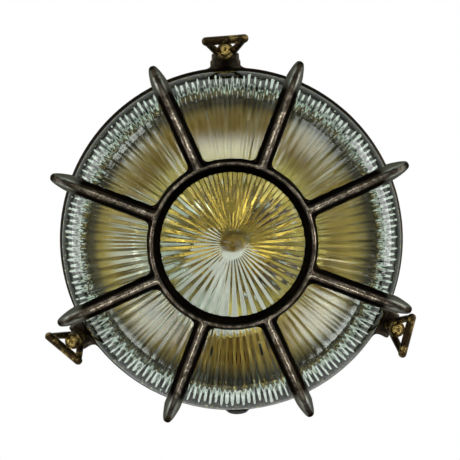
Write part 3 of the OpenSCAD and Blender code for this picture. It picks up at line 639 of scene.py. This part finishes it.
# Bright patches of the room in front of the light, which its glass mirrors:
# bearing round the axis from the right, tilt from the axis, half width, half height, soft edge, strength
ROOM_PATCHES = (
    (90, 20.5, 0.20, 0.06, 0.05, 6.5),
    (227, 28.0, 0.11, 0.11, 0.06, 7.0),
    (316, 30.0, 0.11, 0.11, 0.06, 9.0),
    (46, 30.5, 0.10, 0.10, 0.06, 5.0),
    (181, 23.0, 0.09, 0.14, 0.06, 0.8),
    (137, 34.5, 0.11, 0.11, 0.05, 7.0),
)


def room_patch(t, u, v, bearing, tilt, half_u, half_v, soft, strength):
    """One bright patch, placed by its slopes u and v to the light's axis."""
    reach = math.tan(math.radians(tilt))
    off_u = t.math("ABSOLUTE", t.math("SUBTRACT", u, reach * math.cos(math.radians(bearing))))
    off_v = t.math("ABSOLUTE", t.math("SUBTRACT", v, reach * math.sin(math.radians(bearing))))
    across = t.span(off_u, half_u - soft, half_u + soft, strength, 0.0)
    return t.math("MULTIPLY", across, t.span(off_v, half_v - soft, half_v + soft, 1.0, 0.0))


def studio():
    softbox("key_over", (0.0, -0.55, 0.95), (0.9, 0.5), 10, glossy=False)
    softbox("fill_left", (-0.95, -0.40, 0.20), (0.5, 0.9), 4)
    softbox("fill_right", (0.95, -0.40, 0.20), (0.4, 0.9), 6)
    world = bpy.data.worlds.new("studio")
    bpy.context.scene.world = world
    world.use_nodes = True
    t = Tree(world.node_tree)
    path = t.node("LightPath")
    split = t.node("SeparateXYZ")
    t.feed(split.inputs[0], t.node("TexCoord").outputs["Generated"])
    x, y, z = split.outputs
    ahead = t.math("MULTIPLY", y, -1.0)
    u, v = t.math("DIVIDE", x, ahead), t.math("DIVIDE", z, ahead)
    patches = 0.0
    for patch in ROOM_PATCHES:
        patches = t.math("ADD", patches, room_patch(t, u, v, *patch))
    patches = t.math("MULTIPLY", patches, t.span(ahead, 0.3, 0.4))
    belt = t.span(t.math("ABSOLUTE", t.math("ADD", y, 0.05)), 0.15, 0.35, 1.5, 0.0)
    mirrored = t.math("ADD", t.math("ADD", patches, belt), t.span(y, 0.20, 0.60, 0.11, 0.38))
    seen_through = t.math("ADD", patches, t.span(y, 0.30, 0.55, 0.06, 0.68))
    room = t.value(path.outputs["Is Glossy Ray"], 0.35, mirrored)
    room = t.value(path.outputs["Is Transmission Ray"], room, seen_through)
    strength = t.value(path.outputs["Is Camera Ray"], room, 1.0)
    sky = t.node("Background")
    t.feed(sky.inputs["Color"], t.colour(path.outputs["Is Camera Ray"], ROOM_TINT, (1, 1, 1)))
    t.feed(sky.inputs["Strength"], strength)
    t.feed(t.node("OutputWorld").inputs["Surface"], sky.outputs[0])
    half, floor_z = 0.42, -0.42
    corners = [(-half, -half, floor_z), (half, -half, floor_z), (half, half, floor_z), (-half, half, floor_z)]
    mesh_object("floor", corners, [(0, 1, 2, 3)], pale_floor(), smooth=False)


def camera():
    data = bpy.data.cameras.new("camera")
    data.sensor_fit = "HORIZONTAL"
    data.sensor_width = 36
    data.lens = FOCAL_PX / FRAME_PX * data.sensor_width
    data.shift_x = (FRAME_PX / 2 - CENTRE_PX[0]) / FRAME_PX
    data.shift_y = (CENTRE_PX[1] - FRAME_PX / 2) / FRAME_PX
    data.clip_start, data.clip_end = 0.01, 20
    made = bpy.data.objects.new("camera", data)
    level = math.cos(CAMERA_ELEVATION)
    back = Vector((math.sin(CAMERA_AZIMUTH) * level, -math.cos(CAMERA_AZIMUTH) * level,
                   math.sin(CAMERA_ELEVATION)))
    made.location = CAMERA_TARGET + back * CAMERA_DISTANCE
    made.rotation_mode = "QUATERNION"
    made.rotation_quaternion = (-back).to_track_quat("-Z", "Y") @ Quaternion((0, 0, 1), CAMERA_ROLL)
    bpy.context.scene.collection.objects.link(made)
    bpy.context.scene.camera = made


# Making

camera()
studio()
bpy.context.scene.view_settings.view_transform = "Standard"

bolt_brass = turned_brass("bolt_brass", (0.50, 0.34, 0.11), (0.20, 0.13, 0.05), 0.22)
bare_brass = turned_brass("bare_brass", BRASS, (0.66, 0.46, 0.16), 0.22)
worn_bronze = nut_bronze()
body = body_bronze()
steel = plated_steel()
rubber = black_rubber()
phenolic = dark_phenolic()
porcelain = white_porcelain()
finishes = {
    "guard": guard_bronze(), "wall_body": body, "gland_nut": body,
    "body_gasket": rubber, "guard_gasket": rubber, "gland_seal": rubber, "gland_washer": bare_brass,
    "lampholder_bracket": bare_brass, "lampholder_body": porcelain, "lampholder_shell": bare_brass,
    "centre_contact": bare_brass, "lampholder_screws": steel, "bracket_screws": steel,
    "terminal_block": phenolic, "terminal_screws": bare_brass, "block_screws": steel,
    "earth_screw": bare_brass, "earth_washer": bare_brass,
}
for lug in LUGS:
    finishes["pivot_pin_" + lug] = worn_bronze
    finishes["swing_bolt_" + lug] = bolt_brass
    finishes["loop_nut_" + lug] = worn_bronze
for name, material in finishes.items():
    dress(name, material)

cast("guard", 1.12 * MM, 4)
for lug in LUGS:
    cast("loop_nut_" + lug, 0.4 * MM, 3)
    threaded_bolt(lug, bolt_brass)
    break_edges("pivot_pin_" + lug, 0.3 * MM)
for name, width in EDGE_WIDTHS.items():
    break_edges(name, width)
glass_dome(clear_glass())
